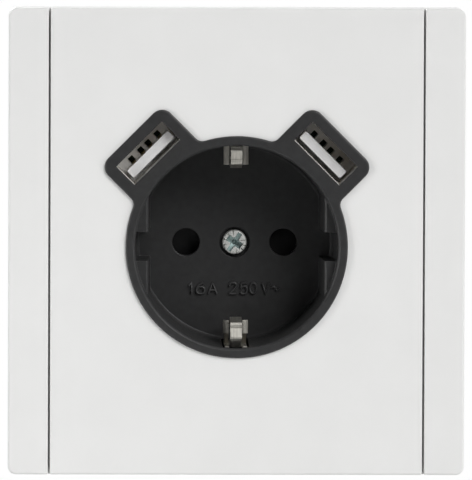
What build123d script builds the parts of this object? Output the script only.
from build123d import *
import os
from math import asin, cos, degrees, hypot, radians, sin

# Flush wall socket: an earthed two-pin outlet with two USB ports in diagonal ears of its cover.
# Millimetres, +Z up. The socket's axis is the Y axis and the wall's face is the plane Y = 0.
# Levels are measured out from the wall towards the room, so a level is -Y.

# White frame and centre plate
FRAME_WIDTH = 88.5
FRAME_HEIGHT = 90.5
FRAME_RISE = 1.0  # middle of the frame and of the ears, above the socket's axis
FRAME_OUT = 9.5  # level of the white front
FRAME_WALL = 2.0
FRAME_CORNER = 1.6
FRAME_EDGE = 0.5
STRIP_WIDTH = 7.75
GROOVE_WIDTH = 0.4
PLATE_THICKNESS = 2.4
WEB_THICKNESS = 1.8
WEB_WINDOW = 62.0
PEG_RADIUS = 1.5
PEG_LENGTH = 3.0
PEG_EDGE_X = 3.2  # peg axis in from the plate's side
PEG_EDGE_Z = 7.0  # peg axis in from the plate's top and bottom
PEG_CLEAR = 0.1

# Black cover
RIM_PROUD = 0.6  # rim above the white front
RIM_RADIUS = 21.55
RIM_WIDTH = 1.85  # from the rim's outside to the cup's mouth
RIM_LIP = 0.6  # how far the rim laps over the plate
RIM_EDGE = 0.35
COVER_CLEAR = 0.2  # around the cover, in the plate's opening
EAR_ANGLE = 45.0
EAR_WIDTH = 17.1
EAR_OVER = 7.55  # outer side of an ear, past the rim
EAR_CORNER = 2.4
EAR_FILLET = 1.8
EAR_DEPTH = 11.0
EAR_SKIN = 1.0
CUP_DRAFT = 0.5  # floor's radius short of the mouth's
CUP_DEPTH = 17.5
CUP_MOUTH_BEVEL = 0.4
FLOOR_THICKNESS = 2.4
FLOOR_BEVEL = 0.5  # where the floor meets the cup's wall
GUIDE_REACH = 2.6  # guide faces in from the cup's mouth, at their front
GUIDE_DRAFT = 0.6  # and further in at the floor
GUIDE_DROP = 2.5  # guide fronts below the rim
GUIDE_BEVEL = 0.35
NOTCH_WIDTH = 5.55
PIN_PITCH = 19.0
PIN_LENGTH = 19.0
PIN_HOLE_RADIUS = 2.65
PIN_HOLE_BEVEL = 0.1
WELL_RADIUS = 2.95
WELL_DEPTH = 1.7
BOSS_RADIUS = 3.8
EARTH_SLOT_TOP = 1.5  # top of the clips' slots below the rim
EARTH_SLOT_CLEAR = 0.45

# Centre screw
SCREW_RADIUS = 1.5
SCREW_HEAD_RADIUS = 2.4
SCREW_HEAD_HEIGHT = 1.5
SCREW_HEAD_EDGE = 0.4
SCREW_LENGTH = 10.0
SCREW_END_ROOM = 1.0  # past the screw's end, in the base
SCREW_CLEAR = 0.3
RECESS_ANGLE = 56.0
RECESS_LONG = 4.0
RECESS_SLOT = 0.85
RECESS_SHORT = 3.1
RECESS_CROSS = 1.2
RECESS_DEPTH = 0.8

# Shutter and its spring
SHUTTER_THICKNESS = 2.6
SHUTTER_GAP = 0.3  # in front of the shutter and behind it
SHUTTER_CLEAR = 0.08  # on the boss
SHUTTER_SWING = 38.0
LOBE_RADIUS = 3.7
LOBE_RAMP = 1.6
HUB_RADIUS = 6.8
SPRING_SEAT_RADIUS = 5.7
SPRING_SEAT_DEPTH = 1.2
SPRING_RADIUS = 4.9
SPRING_WIRE = 0.25  # radius of the wire
SPRING_BEND = 0.5
SPRING_SPAN = 300.0
SPRING_END_SHY = 0.4  # free end of the wire, behind the shutter's front
STOP_RADIUS = 1.0
STOP_LENGTH = 2.2

# Earth strap
STRAP_THICKNESS = 0.8
STRAP_WIDTH = 7.0
CLIP_THICKNESS = 0.5
CLIP_WIDTH = 4.3
CLIP_TONGUE = 2.25
CLIP_SLIT = 0.18
CLIP_SEAT = 0.05  # middle of the arm, out from the cup's mouth
CLIP_BEND = 0.45
CLIP_LEAN = 0.5  # both clips' inner parts are set this much upward
PRONG_DEPTH = 4.0  # front of the arm's two prongs, below the rim
TONGUE_ROOT_DEPTH = 8.5  # where the tongue leaves the arm, below the rim
TONGUE_FOLD_IN = 1.2  # bends of the tongue, in from the cup's mouth
TONGUE_FOLD_DEPTH = 3.0  # and below the rim
TONGUE_VALLEY_IN = 3.2
TONGUE_VALLEY_DEPTH = 4.4
TONGUE_CREST_IN = 4.1
TONGUE_CREST_DEPTH = 4.0
TONGUE_APEX_IN = 4.95
TONGUE_APEX_DEPTH = 8.0
TONGUE_TAIL_IN = 3.5
TONGUE_TAIL_DEPTH = 14.5
CHEEK_TIP_IN = 4.55  # strips beside the tongue, in from the cup's mouth
CHEEK_DEPTH = 8.0  # and below the rim
CHEEK_FLAT = 0.45
CHEEK_FALL = 0.3  # how far their outer sides are turned back
CHEEK_OVER = 0.15  # past the arm's sides
CHEEK_LEG = 4.5  # their legs, back from the front
UPPER_CHEEK = 3.75  # their length on the upper clip
LOWER_CHEEK = 2.6  # and on the lower one

# Steel plate on the wall
RING_SIDE = 71.0
RING_CORNER = 8.0
RING_THICKNESS = 1.0
RING_CLEAR = 0.6
BOX_SCREW_PITCH = 60.0
BOX_SLOT_RADIUS = 1.7
BOX_SLOT_LENGTH = 7.0
RIVET_RADIUS = 1.2
RIVET_HEAD_RADIUS = 2.2
RIVET_HEAD_HEIGHT = 0.7
RIVET_LENGTH = 6.0
RIVET_OUT = 1.6  # rivets out from the base's side
RIVET_ANGLES = (-14.0, -58.0, -122.0, -166.0)
RIVET_BOSS_RADIUS = 2.8
RIVET_BOSS_DEPTH = 9.0

# Base housing
BASE_DEPTH = 33.0
BASE_RADIUS = 24.5
BASE_EDGE = 1.0
BUCKET_CLEAR = 0.35
EAR_ROOM = 9.0  # depth of the base's cut-outs for the ears
EAR_ROOM_CLEAR = 0.5
INNER_WALL = 1.4
CHAMBER_WIDTH = 8.4
CHAMBER_HEIGHT = 8.0
CHAMBER_SPARE = 1.6  # past the end of a pin
FIT_CLEAR = 0.1

# Pin clips and terminals
PINCH_RADIUS = 2.2
PINCH_SHEET = 0.6
PINCH_GAP = 2.4
PINCH_INSET = 1.2  # clip behind the base's front
PINCH_LENGTH = 10.5
TAB_WIDTH = 1.5
TERMINAL_SIDE = 6.0
TERMINAL_LENGTH = 13.0
TERMINAL_DROP = 8.5  # terminal blocks below the socket's axis
TERMINAL_WALL = 1.0  # around the blocks' rooms in the base
EARTH_TERMINAL_DROP = 15.5
WIRE_RADIUS = 1.6
WIRE_ENTRY_RADIUS = 2.0
WIRE_STOP = 2.0  # closed end of a block, in front of the wire's hole
CLAMP_RADIUS = 1.5
CLAMP_HEAD_RADIUS = 2.1
CLAMP_HEAD_HEIGHT = 1.4
CLAMP_SLOT = 0.5
CLAMP_SLOT_DEPTH = 0.7
CLAMP_BITE = 0.6  # screw tip inside the wire's hole
CLAMP_PLACE = 7.0  # clamp screw from the front end of its block

# USB ports
PORT_EDGE = 4.75  # middle of a port in from the ear's outer side
PORT_WIDTH = 12.5
PORT_HEIGHT = 5.12
PORT_SHEET = 0.3
PORT_LAP = 0.04  # window's edge over the inside of the sheet
PORT_RISE = 0.2  # ports above the middle of their windows
PORT_DEPTH = 14.0
PORT_BACK = 4.6  # length of the insulator's back block
BAR_WIDTH = 11.1  # bar that carries the contacts
BAR_THICKNESS = 1.84
BAR_GAP = 0.9  # on the side of the socket's axis
BAR_RECESS = 1.3
BAR_CORNER = 0.35
CONTACT_WIDTH = 1.0
CONTACT_SHEET = 0.25
CONTACT_CHANNEL = 1.2
CONTACT_SETBACK = 1.0
CONTACT_PLACES = (-3.5, -1.0, 1.0, 3.5)
CONTACT_TAIL = 0.6

# Circuit boards and the supply for the ports
USB_BOARD_THICKNESS = 1.2
USB_BOARD_CLEAR = 0.4  # from the base's side
USB_BOARD_BAND = 3.5
USB_BOARD_LOW = 11.4  # lowest part of the band above the socket's axis
USB_BOARD_MARGIN = 0.8
POWER_BOARD_THICKNESS = 1.6
POWER_BOARD_OFF = 1.8  # gap to the rear cover
REAR_COVER_THICKNESS = 1.6
SPIGOT_HEIGHT = 0.8
DUCT_WIDTH = 13.0
DUCT_OVER = 2.3  # top of the duct past the leads
LEAD_PITCH = 2.0
LEAD_COUNT = 4
LEAD_SIDE = 0.64
LEAD_INSET = 1.4  # leads in from the board's inner edge
LEAD_ROOM = 0.5  # around the leads where they pass through the duct's front
POST_RADIUS = 2.3
POST_X = 17.0
POST_Z = 9.0
COVER_SCREW_RADIUS = 1.0
COVER_SCREW_HEAD_RADIUS = 1.9
COVER_SCREW_HEAD_HEIGHT = 1.0
COVER_SCREW_LENGTH = 9.0
CORE_SIDE = 12.6
CORE_THICKNESS = 6.0
CORE_LIMB = 2.6
COIL_GROWTH = 2.2
CORE_Z = 13.6
CAN_RADIUS = 4.0
CAN_HEIGHT = 11.5
CAN_REACH = 18.7  # both cans from the socket's axis
CAN_ANGLE = 51.7
CAN_CLEAR = 0.4  # from the larger can to the supply's wall
SMALL_CAN_RADIUS = 3.15
SMALL_CAN_HEIGHT = 9.0
CAN_CRIMP = 0.35
CAN_CRIMP_PLACE = 1.8  # crimp above the board
CHIP_WIDTH = 4.6
CHIP_LENGTH = 6.4
CHIP_HEIGHT = 1.6
CHIP_BEVEL = 0.25
CHIP_X = 3.7
CHIP_Z = 8.2
FUSE_RADIUS = 1.4
FUSE_LENGTH = 7.5
FUSE_EDGE = 0.35
FUSE_Z = 21.4

# Levels that follow from those sizes
RIM_OUT = FRAME_OUT + RIM_PROUD
PLATE_BACK = FRAME_OUT - PLATE_THICKNESS
WEB_BACK = PLATE_BACK - WEB_THICKNESS
FLOOR_OUT = RIM_OUT - CUP_DEPTH
FLOOR_BACK = FLOOR_OUT - FLOOR_THICKNESS
SHUTTER_FRONT = FLOOR_BACK - SHUTTER_GAP
SHUTTER_BACK = SHUTTER_FRONT - SHUTTER_THICKNESS
STRAP_FRONT = SHUTTER_BACK - SHUTTER_GAP
BASE_FRONT = STRAP_FRONT - STRAP_THICKNESS
BASE_BACK = -BASE_DEPTH
CHAMBER_BACK = FLOOR_OUT - PIN_LENGTH - CHAMBER_SPARE
COVER_SEAT = BASE_BACK + REAR_COVER_THICKNESS
BOARD_BACK = COVER_SEAT + POWER_BOARD_OFF
BOARD_FRONT = BOARD_BACK + POWER_BOARD_THICKNESS
POCKET_FRONT = BASE_FRONT - INNER_WALL
EAR_BACK = RIM_OUT - EAR_DEPTH
PORT_FRONT = RIM_OUT - EAR_SKIN
PORT_END = PORT_FRONT - PORT_DEPTH
USB_BOARD_BACK = PORT_END - USB_BOARD_THICKNESS

# Widths that follow from those sizes
PLATE_WIDTH = FRAME_WIDTH - 2 * (STRIP_WIDTH + GROOVE_WIDTH)
CUP_OUTER_RADIUS = RIM_RADIUS - RIM_LIP
CUP_MOUTH_RADIUS = RIM_RADIUS - RIM_WIDTH
CUP_FLOOR_RADIUS = CUP_MOUTH_RADIUS - CUP_DRAFT
GUIDE_HALF_TOP = CUP_MOUTH_RADIUS - GUIDE_REACH
GUIDE_HALF_FLOOR = GUIDE_HALF_TOP - GUIDE_DRAFT
EAR_TIP = RIM_RADIUS + EAR_OVER
PORT_REACH = EAR_TIP - PORT_EDGE
CLIP_ARM = CUP_MOUTH_RADIUS + CLIP_SEAT
BUCKET_RADIUS = CUP_OUTER_RADIUS + BUCKET_CLEAR
PIN_X = PIN_PITCH / 2
TAIL_X = PIN_X + CHAMBER_WIDTH / 2 - PINCH_SHEET - FIT_CLEAR
TERMINAL_X = TAIL_X + PINCH_SHEET + TERMINAL_SIDE / 2
POCKET_Z = CHAMBER_HEIGHT / 2 + INNER_WALL
TAB_Z = POCKET_Z + TAB_WIDTH
RIVET_REACH = BASE_RADIUS + RIVET_OUT
USB_BOARD_INNER = BASE_RADIUS + USB_BOARD_CLEAR
USB_BOARD_RADIUS = USB_BOARD_INNER + USB_BOARD_BAND
LEAD_REACH = USB_BOARD_INNER + LEAD_INSET
DUCT_TOP = LEAD_REACH + DUCT_OVER
SUPPLY_RADIUS = CAN_REACH + CAN_RADIUS + CAN_CLEAR + INNER_WALL
CAN_X = CAN_REACH * cos(radians(CAN_ANGLE))
CAN_Z = CAN_REACH * sin(radians(CAN_ANGLE))

# How close counts as being on a level or on a circle
NEARLY = 0.001

# Planes to draw on: looking at the wall, from the side, and from above
WALL = Plane.XZ
SIDE = Plane(origin=(0, 0, 0), x_dir=(0, 0, 1), z_dir=(1, 0, 0))
ABOVE = Plane(origin=(0, 0, 0), x_dir=(1, 0, 0), z_dir=(0, 0, -1))
MIDDLE = Plane.YZ


def slab(outline, back, front):
    """Solid with an outline drawn looking at the wall, between two levels."""
    return extrude(WALL.offset(back) * outline, amount=front - back)


def disc(radius, x, z, back, front):
    """Round slab about a place on the wall."""
    return slab(Pos(x, z) * Circle(radius), back, front)


def block(x_range, z_range, back, front):
    """Square slab between two places each way."""
    width = x_range[1] - x_range[0]
    height = z_range[1] - z_range[0]
    middle = Pos(sum(x_range) / 2, sum(z_range) / 2)
    return slab(middle * Rectangle(width, height), back, front)


def cone(back_radius, front_radius, x, z, back, front):
    """Round taper about a place on the wall."""
    taper = Cone(back_radius, front_radius, front - back, align=(Align.CENTER, Align.CENTER, Align.MIN))
    return WALL.offset(back) * Pos(x, z) * taper


def side_sheet(points, thickness, bend, x_from, x_to):
    """Folded sheet: a line of (height, level) points, given a thickness and run across from x to x."""
    line = FilletPolyline(*points, radius=bend)
    return extrude(SIDE.offset(x_from) * trace(line, thickness), amount=x_to - x_from)


def edges_at(shape, level):
    """Edges that lie whole in one level."""
    return shape.edges().filter_by_position(Axis.Y, -level - NEARLY, -level + NEARLY)


def ear(side):
    """Place of an ear's own axes: its y axis runs outward from the frame's middle."""
    return Pos(0, FRAME_RISE) * Rot(0, 0, -side * EAR_ANGLE)


def port_window(side):
    """Place of a port's window in its ear, with its long side along x."""
    return ear(side) * Pos(0, PORT_REACH)


def port(side):
    """Place of a USB port's middle, with its long side along x."""
    return Pos(0, PORT_RISE) * port_window(side)


def horned_outline(grow=0.0):
    """Outline of the cover, a disc with two ears, moved outward evenly by grow."""
    radius = RIM_RADIUS + grow
    length = EAR_TIP + grow
    outline = Circle(radius)
    for side in (-1, 1):
        outline += ear(side) * Pos(0, length / 2) * Rectangle(EAR_WIDTH + 2 * grow, length)
    corners = outline.vertices().sort_by_distance((0, FRAME_RISE))[-4:]
    outline = fillet(corners, EAR_CORNER + grow)
    upper = [v for v in outline.vertices() if v.Y > FRAME_RISE]
    notches = [v for v in upper if abs(hypot(v.X, v.Y) - radius) < NEARLY]
    return fillet(notches, EAR_FILLET - grow)


def frame_outline(width):
    """Upright field of the frame's full height."""
    return Pos(0, FRAME_RISE) * Rectangle(width, FRAME_HEIGHT)


def peg_places():
    """Axes of the four pegs that hold the plate on the web."""
    half_x = PLATE_WIDTH / 2 - PEG_EDGE_X
    half_z = FRAME_HEIGHT / 2 - PEG_EDGE_Z
    return [(i * half_x, FRAME_RISE + j * half_z) for i in (-1, 1) for j in (-1, 1)]


def make_outer_frame():
    """Two side fields with a web between them, hollow behind, one moulding."""
    whole = Pos(0, FRAME_RISE) * RectangleRounded(FRAME_WIDTH, FRAME_HEIGHT, FRAME_CORNER)
    frame = slab(whole, 0, FRAME_OUT)
    frame = fillet(edges_at(frame, FRAME_OUT), FRAME_EDGE)
    channel = Pos(0, FRAME_RISE) * Rectangle(FRAME_WIDTH - 2 * STRIP_WIDTH, FRAME_HEIGHT + FRAME_WALL)
    frame -= slab(channel, PLATE_BACK, FRAME_OUT)
    lips = [e for e in edges_at(frame, FRAME_OUT) if e.length > FRAME_HEIGHT - 4 * FRAME_CORNER]
    inner_lips = [e for e in lips if abs(e.center().X) < FRAME_WIDTH / 2 - STRIP_WIDTH / 2]
    frame = fillet(inner_lips, FRAME_EDGE / 2)
    hollow_width = FRAME_WIDTH - 2 * FRAME_WALL
    hollow_height = FRAME_HEIGHT - 2 * FRAME_WALL
    frame -= slab(Pos(0, FRAME_RISE) * Rectangle(hollow_width, hollow_height), 0, WEB_BACK)
    strip_room = STRIP_WIDTH - 2 * FRAME_WALL
    strip_x = FRAME_WIDTH / 2 - STRIP_WIDTH / 2
    for side in (-1, 1):
        room = Pos(side * strip_x, FRAME_RISE) * Rectangle(strip_room, hollow_height)
        frame -= slab(room, 0, FRAME_OUT - FRAME_WALL)
    window = Pos(0, FRAME_RISE) * RectangleRounded(WEB_WINDOW, WEB_WINDOW, FRAME_CORNER)
    frame -= slab(window, WEB_BACK, PLATE_BACK)
    for x, z in peg_places():
        frame -= disc(PEG_RADIUS + PEG_CLEAR, x, z, WEB_BACK, PLATE_BACK)
    return frame


def make_centre_plate():
    """Plate between the grooves, with the cover's opening and four pegs behind."""
    plate = slab(frame_outline(PLATE_WIDTH), PLATE_BACK, FRAME_OUT)
    front = edges_at(plate, FRAME_OUT)
    plate = fillet(front.filter_by(Axis.X), FRAME_EDGE)
    long_edges = edges_at(plate, FRAME_OUT).filter_by(Axis.Z)
    plate = fillet(long_edges, FRAME_EDGE / 2)
    plate -= slab(horned_outline(COVER_CLEAR - RIM_LIP), PLATE_BACK, FRAME_OUT)
    for x, z in peg_places():
        plate += disc(PEG_RADIUS, x, z, PLATE_BACK - PEG_LENGTH, PLATE_BACK)
    return plate


def cup_guides():
    """Segments on both sides of the cup with drafted faces, each with a notch at the axis."""
    outer = CUP_MOUTH_RADIUS + RIM_LIP
    front = RIM_OUT - GUIDE_DROP
    section = Polygon(
        (GUIDE_HALF_TOP + GUIDE_BEVEL, front),
        (outer, front),
        (outer, FLOOR_OUT - FLOOR_THICKNESS),
        (GUIDE_HALF_FLOOR, FLOOR_OUT - FLOOR_THICKNESS),
        (GUIDE_HALF_FLOOR, FLOOR_OUT),
        (GUIDE_HALF_TOP, front - GUIDE_BEVEL),
        align=None,
    )
    right = extrude(ABOVE * section, amount=CUP_MOUTH_RADIUS, both=True)
    notch = (-NOTCH_WIDTH / 2, NOTCH_WIDTH / 2)
    right -= block((0, outer), notch, FLOOR_OUT - FLOOR_THICKNESS, RIM_OUT)
    return right + mirror(right, about=MIDDLE)


def cup_space():
    """Room inside the cup, which the cover loses."""
    section = Polygon(
        (0, FLOOR_OUT),
        (CUP_FLOOR_RADIUS - FLOOR_BEVEL, FLOOR_OUT),
        (CUP_FLOOR_RADIUS, FLOOR_OUT + FLOOR_BEVEL),
        (CUP_MOUTH_RADIUS, RIM_OUT - CUP_MOUTH_BEVEL),
        (CUP_MOUTH_RADIUS + CUP_MOUTH_BEVEL, RIM_OUT),
        (0, RIM_OUT),
        align=None,
    )
    return revolve(ABOVE * section, Axis.Y) - cup_guides()


def earth_slots():
    """Slots in the cup's wall for the two earth clips, on past the floor for their arms."""
    half = CLIP_WIDTH / 2 + EARTH_SLOT_CLEAR
    arm_inner = CLIP_ARM - CLIP_THICKNESS / 2 - EARTH_SLOT_CLEAR
    top = RIM_OUT - EARTH_SLOT_TOP
    slot = block((-half, half), (arm_inner - EARTH_SLOT_CLEAR, RIM_RADIUS), FLOOR_OUT, top)
    slot += block((-half, half), (arm_inner, RIM_RADIUS), FLOOR_BACK, FLOOR_OUT)
    return slot + mirror(slot, about=Plane.XY)


def stop_places():
    """Axes of the stops that the shutter's lobes come up against at both ends of its swing."""
    reach = LOBE_RADIUS + STOP_RADIUS + SHUTTER_GAP
    lead = degrees(2 * asin(reach / PIN_PITCH))
    turns = [side + turn for side in (0, 180) for turn in (-lead, SHUTTER_SWING + lead)]
    return [(PIN_X * cos(radians(turn)), PIN_X * sin(radians(turn))) for turn in turns]


def make_socket_cover():
    """Rim, ears, cup and floor in one moulding, with the screw's boss and the shutter's stops behind."""
    cover = slab(horned_outline(), FRAME_OUT, RIM_OUT)
    cover = fillet(edges_at(cover, RIM_OUT), RIM_EDGE)
    slots = earth_slots()
    cover += slab(horned_outline(-RIM_LIP), EAR_BACK, FRAME_OUT) - slots
    cover += disc(CUP_OUTER_RADIUS, 0, 0, FLOOR_BACK, EAR_BACK) - slots
    cover -= cup_space()
    cover += disc(BOSS_RADIUS, 0, 0, STRAP_FRONT, FLOOR_BACK)
    for x, z in stop_places():
        cover += disc(STOP_RADIUS, x, z, FLOOR_BACK - STOP_LENGTH, FLOOR_BACK)
    for side in (-1, 1):
        x = side * PIN_X
        cover -= disc(PIN_HOLE_RADIUS, x, 0, FLOOR_BACK, FLOOR_OUT)
        flare = PIN_HOLE_RADIUS + PIN_HOLE_BEVEL
        cover -= cone(PIN_HOLE_RADIUS, flare, x, 0, FLOOR_OUT - PIN_HOLE_BEVEL, FLOOR_OUT)
        shell = Rectangle(
            PORT_WIDTH + 2 * (PORT_SHEET + FIT_CLEAR), PORT_HEIGHT + 2 * (PORT_SHEET + FIT_CLEAR)
        )
        window = Rectangle(PORT_WIDTH - 2 * PORT_LAP, PORT_HEIGHT - 2 * PORT_LAP)
        cover -= slab(port(side) * shell, EAR_BACK, PORT_FRONT)
        cover -= slab(port_window(side) * window, PORT_FRONT, RIM_OUT)
    cover -= disc(WELL_RADIUS, 0, 0, FLOOR_OUT - WELL_DEPTH, FLOOR_OUT)
    return cover - disc(SCREW_RADIUS + SCREW_CLEAR, 0, 0, STRAP_FRONT, FLOOR_OUT)


def make_centre_screw():
    """Cheese-head screw with a slot crossed by a wider, shorter recess."""
    seat = FLOOR_OUT - WELL_DEPTH
    top = seat + SCREW_HEAD_HEIGHT
    screw = disc(SCREW_HEAD_RADIUS, 0, 0, seat, top)
    screw = fillet(edges_at(screw, top), SCREW_HEAD_EDGE)
    screw += disc(SCREW_RADIUS, 0, 0, seat - SCREW_LENGTH, seat)
    slot = Rot(0, 0, RECESS_ANGLE) * Rectangle(RECESS_LONG, RECESS_SLOT)
    cross = Rot(0, 0, RECESS_ANGLE + 90) * Rectangle(RECESS_SHORT, RECESS_CROSS)
    return screw - slab(slot + cross, top - RECESS_DEPTH, top)


def spring_point(turn):
    """Place on the spring's ring, at a turn in degrees from its end at the bottom."""
    angle = radians(-90.0 - turn)
    return SPRING_RADIUS * cos(angle), SPRING_RADIUS * sin(angle)


def spring_ends():
    """Places of the spring's two legs, a bend past the ends of its ring: in the strap and in the shutter."""
    legs = []
    for turn, way in ((0, -1), (SPRING_SPAN, 1)):
        x, z = spring_point(turn)
        along = way * SPRING_BEND / SPRING_RADIUS
        legs.append((x + along * z, z - along * x))
    return legs


def spring_level():
    """Level of the spring's ring, in its seat in the shutter."""
    return SHUTTER_BACK + SPRING_SEAT_DEPTH / 2


def make_shutter():
    """Rotor on the cover's boss with a ramped lobe behind each pin hole."""
    outline = Circle(HUB_RADIUS) + Rectangle(PIN_PITCH, LOBE_RADIUS * 2)
    for side in (-1, 1):
        outline += Pos(side * PIN_X, 0) * Circle(LOBE_RADIUS)
    shutter = slab(outline, SHUTTER_BACK, SHUTTER_FRONT)
    ramp_section = Polygon(
        (-LOBE_RADIUS, SHUTTER_FRONT),
        (LOBE_RADIUS, SHUTTER_FRONT),
        (-LOBE_RADIUS, SHUTTER_FRONT - LOBE_RAMP),
        align=None,
    )
    right_ramp = extrude(SIDE.offset(HUB_RADIUS) * ramp_section, amount=PIN_PITCH)
    shutter -= right_ramp
    shutter -= Rot(0, 180, 0) * right_ramp
    shutter -= disc(BOSS_RADIUS + SHUTTER_CLEAR, 0, 0, SHUTTER_BACK, SHUTTER_FRONT)
    shutter -= disc(SPRING_SEAT_RADIUS, 0, 0, SHUTTER_BACK, SHUTTER_BACK + SPRING_SEAT_DEPTH)
    x, z = spring_ends()[1]
    return shutter - disc(SPRING_WIRE + FIT_CLEAR, x, z, SHUTTER_BACK, SHUTTER_FRONT)


def make_shutter_spring():
    """Open wire ring with one leg turned back into the strap and one forward into the shutter."""
    level = spring_level()
    first, middle, last = [
        (x, -level, z) for x, z in (spring_point(share * SPRING_SPAN) for share in (0, 0.5, 1))
    ]
    (fixed_x, fixed_z), (free_x, free_z) = spring_ends()
    fixed_tip = (fixed_x, -BASE_FRONT, fixed_z)
    fixed_bend = (fixed_x, SPRING_BEND - level, fixed_z)
    free_bend = (free_x, -level - SPRING_BEND, free_z)
    free_tip = (free_x, SPRING_END_SHY - SHUTTER_FRONT, free_z)
    path = Wire(
        [
            Line(fixed_tip, fixed_bend),
            TangentArc(fixed_bend, first, tangent=(0, -1, 0)),
            ThreePointArc(first, middle, last),
            TangentArc(free_bend, last, tangent=(0, 1, 0)),
            Line(free_bend, free_tip),
        ]
    )
    return sweep(Plane(origin=fixed_tip, z_dir=(0, -1, 0)) * Circle(SPRING_WIRE), path=path)


def clip_point(inset, depth, lean=0.0):
    """Place on a clip as (height, level), from the cup's mouth and from the rim."""
    return CUP_MOUTH_RADIUS - inset + lean, RIM_OUT - depth


def clip_cheek(lean, length):
    """Strip beside the tongue with its outer side turned back, on a leg that joins it to the arm."""
    inner = CLIP_TONGUE / 2 + CLIP_SLIT
    outer = CLIP_WIDTH / 2
    tip, front = clip_point(CHEEK_TIP_IN, CHEEK_DEPTH, lean)
    end = tip + length
    bend = (inner + CHEEK_FLAT, front)
    edge = (outer + CHEEK_OVER, front - CHEEK_FALL)
    profile = FilletPolyline((inner, front), bend, edge, radius=CLIP_BEND)
    cheek = extrude(ABOVE.offset(-end) * trace(profile, CLIP_THICKNESS), amount=length)
    back = front - CHEEK_LEG
    leg = Polygon(
        (end - CLIP_THICKNESS, back),
        (CLIP_ARM, back),
        (CLIP_ARM, back + CLIP_THICKNESS),
        (end, front),
        (end - CLIP_THICKNESS, front),
        align=None,
    )
    return cheek + extrude(SIDE.offset(inner) * leg, amount=outer - inner)


def earth_clip(lean, cheek_length):
    """Arm up the cup's wall that ends in two prongs, with a bent tongue between two strips."""
    bridge = (STRAP_FRONT + BASE_FRONT) / 2
    root = (CLIP_ARM, RIM_OUT - TONGUE_ROOT_DEPTH)
    half = CLIP_WIDTH / 2
    tongue_half = CLIP_TONGUE / 2
    arm_path = [(0, bridge), (CLIP_ARM, bridge), root]
    clip = side_sheet(arm_path, CLIP_THICKNESS, CLIP_BEND, -half, half)
    tongue_path = [
        (CLIP_ARM, RIM_OUT - TONGUE_TAIL_DEPTH),
        root,
        clip_point(TONGUE_FOLD_IN, TONGUE_FOLD_DEPTH, lean),
        clip_point(TONGUE_VALLEY_IN, TONGUE_VALLEY_DEPTH, lean),
        clip_point(TONGUE_CREST_IN, TONGUE_CREST_DEPTH, lean),
        clip_point(TONGUE_APEX_IN, TONGUE_APEX_DEPTH, lean),
        clip_point(TONGUE_TAIL_IN, TONGUE_TAIL_DEPTH, lean),
    ]
    clip += side_sheet(tongue_path, CLIP_THICKNESS, CLIP_BEND, -tongue_half, tongue_half)
    prong_x = (tongue_half + CLIP_SLIT, half)
    prong_z = (CLIP_ARM - CLIP_THICKNESS / 2, CLIP_ARM + CLIP_THICKNESS / 2)
    side = block(prong_x, prong_z, root[1], RIM_OUT - PRONG_DEPTH)
    side += clip_cheek(lean, cheek_length)
    return clip + side + mirror(side, about=MIDDLE)


def make_earth_strap():
    """One sheet: a bridge over the base with a spring clip up each end."""
    strap = earth_clip(CLIP_LEAN, UPPER_CHEEK)
    strap += mirror(earth_clip(-CLIP_LEAN, LOWER_CHEEK), about=Plane.XY)
    bridge_z = (-CLIP_ARM + STRAP_WIDTH / 2, CLIP_ARM - STRAP_WIDTH / 2)
    strap += block((-STRAP_WIDTH / 2, STRAP_WIDTH / 2), bridge_z, BASE_FRONT, STRAP_FRONT)
    strap -= disc(SCREW_RADIUS, 0, 0, BASE_FRONT, STRAP_FRONT)
    x, z = spring_ends()[0]
    return strap - disc(SPRING_WIRE, x, z, BASE_FRONT, STRAP_FRONT)


def rivet_places():
    """Axes of the rivets around the base's rim."""
    return [(RIVET_REACH * cos(radians(a)), RIVET_REACH * sin(radians(a))) for a in RIVET_ANGLES]


def make_support_ring():
    """Steel plate on the wall with the cover's opening and two slots for the box screws."""
    ring = slab(RectangleRounded(RING_SIDE, RING_SIDE, RING_CORNER), 0, RING_THICKNESS)
    ring -= slab(horned_outline(RING_CLEAR), 0, RING_THICKNESS)
    for x in (-BOX_SCREW_PITCH / 2, BOX_SCREW_PITCH / 2):
        slot = Pos(x, 0) * SlotOverall(BOX_SLOT_LENGTH, 2 * BOX_SLOT_RADIUS)
        ring -= slab(slot, 0, RING_THICKNESS)
    for x, z in rivet_places():
        ring -= disc(RIVET_RADIUS, x, z, 0, RING_THICKNESS)
    return ring


def make_ring_rivets():
    """Rivets from the plate into the base's bosses."""
    rivets = []
    for x, z in rivet_places():
        rivet = disc(RIVET_RADIUS, x, z, RING_THICKNESS - RIVET_LENGTH, RING_THICKNESS)
        head_top = RING_THICKNESS + RIVET_HEAD_HEIGHT
        head = cone(RIVET_HEAD_RADIUS, RIVET_RADIUS, x, z, RING_THICKNESS, head_top)
        rivets.append(rivet + head)
    return Compound(rivets)


def supply_outline(wall):
    """Upper part of the base behind the pins, with the duct for the leads, inset by wall."""
    upper = Circle(SUPPLY_RADIUS - wall)
    floor_z = CHAMBER_HEIGHT / 2 + wall
    upper -= Pos(0, floor_z - SUPPLY_RADIUS) * Rectangle(2 * SUPPLY_RADIUS, 2 * SUPPLY_RADIUS)
    duct_top = DUCT_TOP - wall
    upper += Pos(0, (floor_z + duct_top) / 2) * Rectangle(DUCT_WIDTH - 2 * wall, duct_top - floor_z)
    return upper


def post_places():
    """Axes of the two posts that carry the power board and the rear cover."""
    return [(-POST_X, POST_Z), (POST_X, POST_Z)]


def tab_slot(side, clear):
    """Room for a pin clip's tab through the wall between its chamber and the supply's space."""
    x = side * PIN_X
    half = PINCH_SHEET / 2 + clear
    return block((x - half, x + half), (0, TAB_Z + clear), CHAMBER_BACK, BASE_FRONT)


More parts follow.
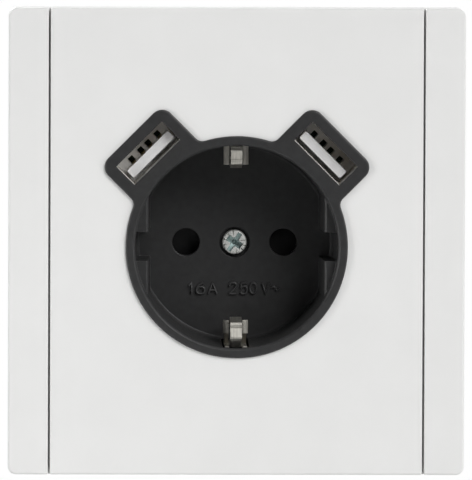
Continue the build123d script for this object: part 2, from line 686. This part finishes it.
def terminal_room(side, clear, below=0.0):
    """Room for a terminal block and the clip's tail beside it, and a wall's depth below it."""
    x_range = sorted((side * (TAIL_X - clear), side * (TERMINAL_X + TERMINAL_SIDE / 2 + clear)))
    low = -TERMINAL_DROP - TERMINAL_SIDE / 2 - clear
    back = BASE_FRONT - PINCH_INSET - TERMINAL_LENGTH - below
    return block(x_range, (low, 0), back, BASE_FRONT)


def lead_channel():
    """Passage for the leads through the front of the duct."""
    half_x = (LEAD_COUNT - 1) * LEAD_PITCH / 2 + LEAD_SIDE / 2 + LEAD_ROOM
    half_z = LEAD_SIDE / 2 + LEAD_ROOM
    return block((-half_x, half_x), (LEAD_REACH - half_z, LEAD_REACH + half_z), POCKET_FRONT, -EAR_ROOM)


def make_base_housing():
    """Bucket around the cup, with chambers for the pins, terminal rooms and the supply's space."""
    base = disc(BASE_RADIUS, 0, 0, BASE_BACK, 0)
    base = chamfer(edges_at(base, BASE_BACK), BASE_EDGE)
    duct = Pos(0, DUCT_TOP / 2) * Rectangle(DUCT_WIDTH, DUCT_TOP)
    base += slab(duct, BASE_BACK, -EAR_ROOM)
    base += slab(supply_outline(0), COVER_SEAT, BASE_FRONT)
    for side in (-1, 1):
        base += terminal_room(side, FIT_CLEAR + TERMINAL_WALL, TERMINAL_WALL)
    for x, z in rivet_places():
        base += disc(RIVET_BOSS_RADIUS, x, z, -RIVET_BOSS_DEPTH, 0)
    base -= disc(BUCKET_RADIUS, 0, 0, BASE_FRONT, 0)
    for side in (-1, 1):
        room_width = EAR_WIDTH + 2 * EAR_ROOM_CLEAR
        room = ear(side) * Pos(0, EAR_TIP / 2) * Rectangle(room_width, EAR_TIP + 2 * EAR_ROOM_CLEAR)
        base -= slab(room, -EAR_ROOM, 0)
        chamber_x = (side * PIN_X - CHAMBER_WIDTH / 2, side * PIN_X + CHAMBER_WIDTH / 2)
        chamber_z = (-CHAMBER_HEIGHT / 2, CHAMBER_HEIGHT / 2)
        base -= block(chamber_x, chamber_z, CHAMBER_BACK, BASE_FRONT)
        base -= terminal_room(side, FIT_CLEAR)
        base -= disc(WIRE_ENTRY_RADIUS, side * TERMINAL_X, -TERMINAL_DROP, BASE_BACK, BASE_FRONT)
    earth_x = TERMINAL_SIDE / 2 + FIT_CLEAR
    earth_z = (-EARTH_TERMINAL_DROP - earth_x, -EARTH_TERMINAL_DROP + earth_x)
    base -= block((-earth_x, earth_x), earth_z, BASE_FRONT - TERMINAL_LENGTH, BASE_FRONT)
    base -= disc(WIRE_ENTRY_RADIUS, 0, -EARTH_TERMINAL_DROP, BASE_BACK, BASE_FRONT)
    for place, direction in clamp_places().values():
        base -= clamp_rod(CLAMP_HEAD_RADIUS + FIT_CLEAR, BASE_RADIUS, place, direction)
    base -= slab(supply_outline(INNER_WALL), BASE_BACK, POCKET_FRONT)
    base -= slab(supply_outline(0), BASE_BACK, COVER_SEAT)
    base -= lead_channel()
    screw_end = FLOOR_OUT - WELL_DEPTH - SCREW_LENGTH
    base -= disc(SCREW_RADIUS + SCREW_CLEAR, 0, 0, screw_end - SCREW_END_ROOM, BASE_FRONT)
    for x, z in post_places():
        base += disc(POST_RADIUS, x, z, BOARD_FRONT, POCKET_FRONT)
        base -= disc(COVER_SCREW_RADIUS, x, z, BOARD_FRONT, BOARD_FRONT + COVER_SCREW_LENGTH)
    for side in (-1, 1):
        base -= tab_slot(side, FIT_CLEAR)
    for x, z in rivet_places():
        base -= disc(RIVET_RADIUS, x, z, RING_THICKNESS - RIVET_LENGTH, 0)
    return base


def make_rear_cover():
    """Plate that closes the supply's space, with two spacers that press on the board."""
    cover = slab(supply_outline(0), BASE_BACK, COVER_SEAT)
    cover += slab(supply_outline(INNER_WALL + FIT_CLEAR), COVER_SEAT, COVER_SEAT + SPIGOT_HEIGHT)
    head_room = COVER_SCREW_HEAD_RADIUS + FIT_CLEAR
    for x, z in post_places():
        cover += disc(POST_RADIUS, x, z, COVER_SEAT, BOARD_BACK)
        cover -= disc(COVER_SCREW_RADIUS + FIT_CLEAR, x, z, BASE_BACK, BOARD_BACK)
        cover -= disc(head_room, x, z, BASE_BACK, BASE_BACK + COVER_SCREW_HEAD_HEIGHT)
    return cover


def make_rear_cover_screws():
    """Two small screws through the rear cover and the board into the posts."""
    screws = []
    seat = BASE_BACK + COVER_SCREW_HEAD_HEIGHT
    for x, z in post_places():
        screw = disc(COVER_SCREW_HEAD_RADIUS, x, z, BASE_BACK, seat)
        screw += disc(COVER_SCREW_RADIUS, x, z, seat, seat + COVER_SCREW_LENGTH)
        screws.append(screw)
    return Compound(screws)


def make_pin_clip(side):
    """Sprung sheet clip around a pin, with a tail to its terminal and a tab to the power board."""
    front = BASE_FRONT - PINCH_INSET
    back = front - PINCH_LENGTH
    outline = Circle(PINCH_RADIUS + PINCH_SHEET) - Circle(PINCH_RADIUS)
    outline -= Pos(-PINCH_RADIUS, 0) * Rectangle(2 * PINCH_RADIUS, PINCH_GAP)
    tail_x = TAIL_X - PIN_X + PINCH_SHEET / 2
    tail_low = -TERMINAL_DROP - TERMINAL_SIDE / 2
    link = Pos((PINCH_RADIUS + tail_x) / 2 + PINCH_SHEET / 4, 0) * Rectangle(
        tail_x - PINCH_RADIUS + PINCH_SHEET / 2, PINCH_SHEET
    )
    tail = Pos(tail_x, (tail_low + PINCH_SHEET / 2) / 2) * Rectangle(PINCH_SHEET, PINCH_SHEET / 2 - tail_low)
    clip = slab(Pos(PIN_X, 0) * (outline + link + tail), back, front)
    half = PINCH_SHEET / 2
    tab_x = (PIN_X - half, PIN_X + half)
    root_z = PINCH_RADIUS + PINCH_SHEET / 2
    clip += block(tab_x, (root_z, TAB_Z), back, back + TAB_WIDTH)
    clip += block(tab_x, (TAB_Z - TAB_WIDTH, TAB_Z), BOARD_BACK, back + TAB_WIDTH)
    return clip if side > 0 else mirror(clip, about=MIDDLE)


def make_pin_terminal(side):
    """Clamp block beside a clip's tail, with the wire's hole from behind and the screw's from outside."""
    front = BASE_FRONT - PINCH_INSET
    half = TERMINAL_SIDE / 2
    x = side * TERMINAL_X
    z = -TERMINAL_DROP
    back = front - TERMINAL_LENGTH
    body = block((x - half, x + half), (z - half, z + half), back, front)
    body -= disc(WIRE_RADIUS, x, z, back, front - WIRE_STOP)
    return body - clamp_hole(side)


def make_earth_terminal():
    """Clamp block under the strap, with the wire's hole from behind and the screw's from below."""
    half = TERMINAL_SIDE / 2
    z = -EARTH_TERMINAL_DROP
    back = BASE_FRONT - TERMINAL_LENGTH
    body = block((-half, half), (z - half, z + half), back, BASE_FRONT)
    body -= disc(WIRE_RADIUS, 0, z, back, BASE_FRONT - WIRE_STOP)
    return body - clamp_hole(0)


def clamp_places():
    """Place on each block's outer face and the way out, by side, with earth as side 0."""
    half = TERMINAL_SIDE / 2
    places = {0: ((0, CLAMP_PLACE - BASE_FRONT, -EARTH_TERMINAL_DROP - half), (0, 0, -1))}
    level = BASE_FRONT - PINCH_INSET - CLAMP_PLACE
    for side in (-1, 1):
        places[side] = ((side * (TERMINAL_X + half), -level, -TERMINAL_DROP), (side, 0, 0))
    return places


def clamp_rod(radius, length, place, direction):
    """Round rod that starts on a block's outer face."""
    rod = Cylinder(radius, length, align=(Align.CENTER, Align.CENTER, Align.MIN))
    return Plane(origin=place, z_dir=direction) * rod


def inward(direction):
    """The opposite way."""
    return tuple(-part for part in direction)


def clamp_hole(side):
    """Threaded hole of a clamp screw, from a block's outer face to the wire's hole."""
    place, direction = clamp_places()[side]
    return clamp_rod(CLAMP_RADIUS, TERMINAL_SIDE / 2, place, inward(direction))


def make_terminal_screws():
    """Three clamp screws, their heads outside the blocks and their tips in the wires' holes."""
    screws = []
    depth = TERMINAL_SIDE / 2 - WIRE_RADIUS + CLAMP_BITE
    for place, direction in clamp_places().values():
        screw = clamp_rod(CLAMP_RADIUS, depth, place, inward(direction))
        screw += clamp_rod(CLAMP_HEAD_RADIUS, CLAMP_HEAD_HEIGHT, place, direction)
        top = Plane(origin=place, z_dir=direction).offset(CLAMP_HEAD_HEIGHT)
        screws.append(screw - top * Box(2 * CLAMP_HEAD_RADIUS, CLAMP_SLOT, 2 * CLAMP_SLOT_DEPTH))
    return Compound(screws)


def make_usb_shell(side):
    """Folded sheet shell of a port."""
    outer = Rectangle(PORT_WIDTH + 2 * PORT_SHEET, PORT_HEIGHT + 2 * PORT_SHEET)
    inner = Rectangle(PORT_WIDTH, PORT_HEIGHT)
    return slab(port(side) * (outer - inner), PORT_END, PORT_FRONT)


def bar_top():
    """Contact face of the bar, out from the port's middle."""
    return BAR_GAP + BAR_THICKNESS - PORT_HEIGHT / 2


def contact_strip(place):
    """Section of one contact, let into the bar's face."""
    return Pos(place, bar_top() - CONTACT_SHEET / 2) * Rectangle(CONTACT_WIDTH, CONTACT_SHEET)


def contact_front():
    """Level of the contacts' front ends, behind the bar's end."""
    return PORT_FRONT - BAR_RECESS - CONTACT_SETBACK


def make_usb_insulator(side):
    """Back block with four channels and the bar whose face the contacts are let into."""
    block_front = PORT_END + PORT_BACK
    body = slab(port(side) * Rectangle(PORT_WIDTH, PORT_HEIGHT), PORT_END, block_front)
    section = RectangleRounded(BAR_WIDTH, BAR_THICKNESS, BAR_CORNER)
    bar = Pos(0, bar_top() - BAR_THICKNESS / 2) * section
    body += slab(port(side) * bar, block_front, PORT_FRONT - BAR_RECESS)
    for place in CONTACT_PLACES:
        channel = Pos(place, bar_top() + CONTACT_CHANNEL / 2) * Rectangle(CONTACT_CHANNEL, CONTACT_CHANNEL)
        body -= slab(port(side) * channel, PORT_END, block_front)
        body -= slab(port(side) * contact_strip(place), PORT_END, contact_front())
    return body


def make_usb_contacts(side):
    """Four sheet contacts let into the bar and running back through the board."""
    back = USB_BOARD_BACK - CONTACT_TAIL
    return Compound([slab(port(side) * contact_strip(p), back, contact_front()) for p in CONTACT_PLACES])


def lead_places():
    """Axes of the pins between the two boards."""
    first = -(LEAD_COUNT - 1) * LEAD_PITCH / 2
    return [(first + i * LEAD_PITCH, LEAD_REACH) for i in range(LEAD_COUNT)]


def make_usb_board():
    """Curved board behind both ports, joined over the top of the cup."""
    band = Circle(USB_BOARD_RADIUS) - Circle(USB_BOARD_INNER)
    below = USB_BOARD_LOW - USB_BOARD_RADIUS
    band -= Pos(0, below) * Rectangle(2 * USB_BOARD_RADIUS, 2 * USB_BOARD_RADIUS)
    for side in (-1, 1):
        past_port = Rectangle(2 * EAR_TIP - PORT_WIDTH, 2 * EAR_TIP)
        band -= ear(side) * Pos(side * EAR_TIP, PORT_REACH) * past_port
        pad_width = PORT_WIDTH + 2 * (PORT_SHEET + USB_BOARD_MARGIN)
        pad_height = PORT_HEIGHT + 2 * PORT_SHEET
        band += port(side) * Rectangle(pad_width, pad_height)
    for x, z in lead_places():
        band -= Pos(x, z) * Rectangle(LEAD_SIDE, LEAD_SIDE)
    board = slab(band, USB_BOARD_BACK, PORT_END)
    for side in (-1, 1):
        for place in CONTACT_PLACES:
            board -= slab(port(side) * contact_strip(place), USB_BOARD_BACK, PORT_END)
    return board


def make_power_board():
    """Board of the supply, seated on the two posts."""
    board = slab(supply_outline(INNER_WALL + 2 * FIT_CLEAR), BOARD_BACK, BOARD_FRONT)
    for x, z in post_places():
        board -= disc(COVER_SCREW_RADIUS + FIT_CLEAR, x, z, BOARD_BACK, BOARD_FRONT)
    for x, z in lead_places():
        board -= slab(Pos(x, z) * Rectangle(LEAD_SIDE, LEAD_SIDE), BOARD_BACK, BOARD_FRONT)
    half = PINCH_SHEET / 2
    for side in (-1, 1):
        x = side * PIN_X
        board -= block((x - half, x + half), (TAB_Z - TAB_WIDTH, TAB_Z), BOARD_BACK, BOARD_FRONT)
    return board


def make_board_leads():
    """Square pins from the power board up to the USB board."""
    section = Rectangle(LEAD_SIDE, LEAD_SIDE)
    return Compound([slab(Pos(x, z) * section, BOARD_BACK, PORT_END) for x, z in lead_places()])


def core_window():
    """Middle of a core window from the core's own middle, and its width."""
    width = (CORE_SIDE - 4 * CORE_LIMB) / 2
    return CORE_LIMB + width / 2, width


def make_transformer_core():
    """Ferrite frame with a middle limb, standing on the board."""
    x, width = core_window()
    outline = Rectangle(CORE_SIDE, CORE_SIDE, align=(Align.CENTER, Align.MIN))
    window = Rectangle(width, CORE_SIDE - 2 * CORE_LIMB)
    for side in (-1, 1):
        outline -= Pos(side * x, CORE_SIDE / 2) * window
    core = extrude(ABOVE * Pos(0, BOARD_FRONT) * outline, amount=CORE_THICKNESS / 2, both=True)
    return Pos(0, 0, CORE_Z) * core


def make_transformer_coil():
    """Wound bobbin around the core's middle limb."""
    width = core_window()[1]
    limb = Rectangle(2 * CORE_LIMB, CORE_THICKNESS)
    wound = Rectangle(2 * (CORE_LIMB + width), CORE_THICKNESS + 2 * COIL_GROWTH)
    low = BOARD_FRONT + CORE_LIMB
    return slab(Pos(0, CORE_Z) * (wound - limb), low, low + CORE_SIDE - 2 * CORE_LIMB)


def make_can(radius, height, x):
    """Capacitor can with a crimp near its foot, standing on the board."""
    foot = BOARD_FRONT
    crimp = foot + CAN_CRIMP_PLACE
    can = disc(radius, x, CAN_Z, foot, foot + height)
    can = chamfer(edges_at(can, foot + height), CAN_CRIMP)
    ring = Circle(radius) - Circle(radius - CAN_CRIMP)
    return can - slab(Pos(x, CAN_Z) * ring, crimp, crimp + 2 * CAN_CRIMP)


def make_chip(x):
    """Flat package with a bevelled top, on the board."""
    top = BOARD_FRONT + CHIP_HEIGHT
    chip = slab(Pos(x, CHIP_Z) * Rectangle(CHIP_LENGTH, CHIP_WIDTH), BOARD_FRONT, top)
    return chamfer(edges_at(chip, top), CHIP_BEVEL)


def make_fuse_resistor():
    """Barrel lying on the board."""
    along = Plane(origin=(0, -BOARD_FRONT - FUSE_RADIUS, FUSE_Z), z_dir=(1, 0, 0))
    barrel = along * Cylinder(FUSE_RADIUS, FUSE_LENGTH)
    return chamfer(barrel.edges().filter_by(GeomType.CIRCLE), FUSE_EDGE)


PIECES = {
    "outer_frame": make_outer_frame(),
    "centre_plate": make_centre_plate(),
    "socket_cover": make_socket_cover(),
    "centre_screw": make_centre_screw(),
    "shutter": make_shutter(),
    "shutter_spring": make_shutter_spring(),
    "earth_strap": make_earth_strap(),
    "support_ring": make_support_ring(),
    "ring_rivets": make_ring_rivets(),
    "base_housing": make_base_housing(),
    "rear_cover": make_rear_cover(),
    "rear_cover_screws": make_rear_cover_screws(),
    "live_contact": make_pin_clip(1),
    "neutral_contact": make_pin_clip(-1),
    "live_terminal": make_pin_terminal(1),
    "neutral_terminal": make_pin_terminal(-1),
    "earth_terminal": make_earth_terminal(),
    "terminal_screws": make_terminal_screws(),
    "usb_shell_left": make_usb_shell(-1),
    "usb_shell_right": make_usb_shell(1),
    "usb_insulator_left": make_usb_insulator(-1),
    "usb_insulator_right": make_usb_insulator(1),
    "usb_contacts_left": make_usb_contacts(-1),
    "usb_contacts_right": make_usb_contacts(1),
    "usb_board": make_usb_board(),
    "power_board": make_power_board(),
    "board_leads": make_board_leads(),
    "transformer_core": make_transformer_core(),
    "transformer_coil": make_transformer_coil(),
    "input_capacitor": make_can(CAN_RADIUS, CAN_HEIGHT, -CAN_X),
    "output_capacitor": make_can(SMALL_CAN_RADIUS, SMALL_CAN_HEIGHT, CAN_X),
    "rectifier": make_chip(-CHIP_X),
    "controller_chip": make_chip(CHIP_X),
    "fuse_resistor": make_fuse_resistor(),
}

os.makedirs("parts", exist_ok=True)
for name, piece in PIECES.items():
    export_step(piece, f"parts/{name}.step")
    print(f"{name}: {piece.volume:.1f} mm3")
